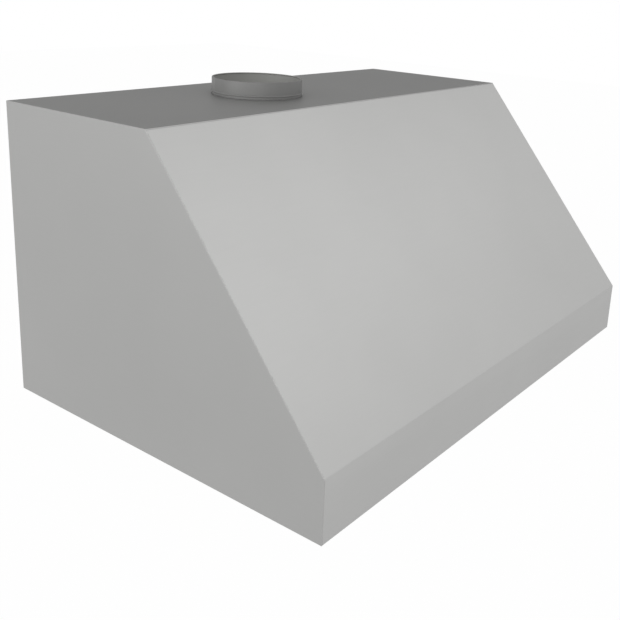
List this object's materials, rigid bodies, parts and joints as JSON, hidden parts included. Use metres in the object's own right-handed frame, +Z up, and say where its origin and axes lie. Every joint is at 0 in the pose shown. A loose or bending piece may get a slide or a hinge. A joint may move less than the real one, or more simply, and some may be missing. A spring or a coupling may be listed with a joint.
{
  "type": "range hood",
  "caption": "Wall-mounted sheet-metal range hood with slanted front, low lip and round top duct collar; blower, damper, baffle filters and grease tray inside.",
  "frame": {"origin": "middle of the back panel's lower edge, in the wall plane and at the height of the open rim", "axes": "+X to the right along the wall, +Y out of the back into the wall, +Z up"},
  "size_m": [0.9144, 0.6096, 0.4847],
  "materials": {
    "brushed_stainless": "fine brushed stainless sheet",
    "collar_steel": "plain rolled sheet",
    "filter_stainless": "bright stainless sheet",
    "galvanised_sheet": "zinc-coated sheet",
    "damper_sheet": "thin plain sheet",
    "bright_steel": "bright drawn steel",
    "wheel_sheet": "plain pressed sheet",
    "motor_paint": "satin black paint",
    "core_steel": "bare laminations",
    "winding_copper": "varnished copper wire",
    "seat_rubber": "soft black rubber",
    "black_plastic": "moulded black plastic",
    "terminal_plastic": "moulded pale plastic",
    "knob_plastic": "satin black knob plastic",
    "lamp_metal": "polished trim",
    "lamp_lens": "frosted lens",
    "lead_jacket": "soft cable jacket"
  },
  "bodies": {
    "hood": {"left_side_panel": "brushed_stainless", "right_side_panel": "brushed_stainless", "front_panel": "brushed_stainless", "top_panel": "brushed_stainless", "back_panel": "brushed_stainless", "cable_bushing": "black_plastic", "duct_collar": "collar_steel", "collar_flange": "collar_steel", "damper_seat": "seat_rubber", "damper_pins": "bright_steel", "scroll_wrap": "galvanised_sheet", "inlet_plate": "galvanised_sheet", "motor_plate": "galvanised_sheet", "inlet_ring": "galvanised_sheet", "outlet_studs": "bright_steel", "blower_bracket": "galvanised_sheet", "motor_shell": "motor_paint", "motor_end_bell": "motor_paint", "motor_mount": "galvanised_sheet", "motor_bearings": "bright_steel", "stator_core": "core_steel", "stator_winding": "winding_copper", "capacitor": "terminal_plastic", "capacitor_clip": "galvanised_sheet", "wiring_box": "galvanised_sheet", "wiring_box_cover": "galvanised_sheet", "terminal_block": "terminal_plastic", "control_panel": "brushed_stainless", "led_driver": "terminal_plastic", "filter_rail": "galvanised_sheet", "centre_rail": "galvanised_sheet", "filter_catches": "black_plastic", "tray_clips": "bright_steel", "lamp_can_left": "lamp_metal", "lamp_can_right": "lamp_metal", "lamp_bezels": "lamp_metal", "lamp_lens_left": "lamp_lens", "lamp_lens_right": "lamp_lens", "side_rail_left": "galvanised_sheet", "side_rail_right": "galvanised_sheet", "fan_switch": "black_plastic", "light_switch": "black_plastic", "motor_leads": "lead_jacket", "supply_lead": "lead_jacket", "control_leads": "lead_jacket", "wire_clips": "black_plastic"},
    "rotor": {"blower_wheel": "wheel_sheet", "motor_shaft": "bright_steel", "rotor_core": "core_steel"},
    "front_flap": {"damper_flap_front": "damper_sheet"},
    "rear_flap": {"damper_flap_rear": "damper_sheet"},
    "left_filter": {"filter_frame_left": "filter_stainless", "baffles_left": "filter_stainless"},
    "left_bail": {"pull_bail_left": "bright_steel"},
    "right_filter": {"filter_frame_right": "filter_stainless", "baffles_right": "filter_stainless"},
    "right_bail": {"pull_bail_right": "bright_steel"},
    "tray": {"grease_tray": "filter_stainless"},
    "fan_control": {"fan_knob": "knob_plastic"},
    "light_control": {"light_knob": "knob_plastic"}
  },
  "joints": [
    {"name": "blower_spin", "type": "hinge", "parent": "hood", "child": "rotor", "pos_m": [-0.0912, -0.2474, 0.285], "axis": [1, 0, 0], "continuous": true},
    {"name": "front_flap_hinge", "type": "hinge", "parent": "hood", "child": "front_flap", "pos_m": [-0.0912, -0.1564, 0.4192], "axis": [-1, 0, 0], "range_deg": [0, 75]},
    {"name": "rear_flap_hinge", "type": "hinge", "parent": "hood", "child": "rear_flap", "pos_m": [-0.0912, -0.1484, 0.4192], "axis": [1, 0, 0], "range_deg": [0, 75]},
    {"name": "left_filter_swing", "type": "hinge", "parent": "hood", "child": "left_filter", "pos_m": [-0.219, -0.072, 0.056], "axis": [1, 0, 0], "range_deg": [0, 75]},
    {"name": "left_bail_swing", "type": "hinge", "parent": "left_filter", "child": "left_bail", "pos_m": [-0.219, -0.46074, 0.07597], "axis": [1, 0, 0], "range_deg": [-15, 75]},
    {"name": "right_filter_swing", "type": "hinge", "parent": "hood", "child": "right_filter", "pos_m": [0.219, -0.072, 0.056], "axis": [1, 0, 0], "range_deg": [0, 75]},
    {"name": "right_bail_swing", "type": "hinge", "parent": "right_filter", "child": "right_bail", "pos_m": [0.219, -0.46074, 0.07597], "axis": [1, 0, 0], "range_deg": [-15, 75]},
    {"name": "tray_pull", "type": "slide", "parent": "hood", "child": "tray", "axis": [0, 0, -1], "range_m": [0, 0.045]},
    {"name": "fan_knob_turn", "type": "hinge", "parent": "hood", "child": "fan_control", "pos_m": [-0.045, -0.555, 0.039], "axis": [0, 0, -1], "range_deg": [0, 135]},
    {"name": "light_knob_turn", "type": "hinge", "parent": "hood", "child": "light_control", "pos_m": [0.045, -0.555, 0.039], "axis": [0, 0, -1], "range_deg": [0, 270]}
  ]
}
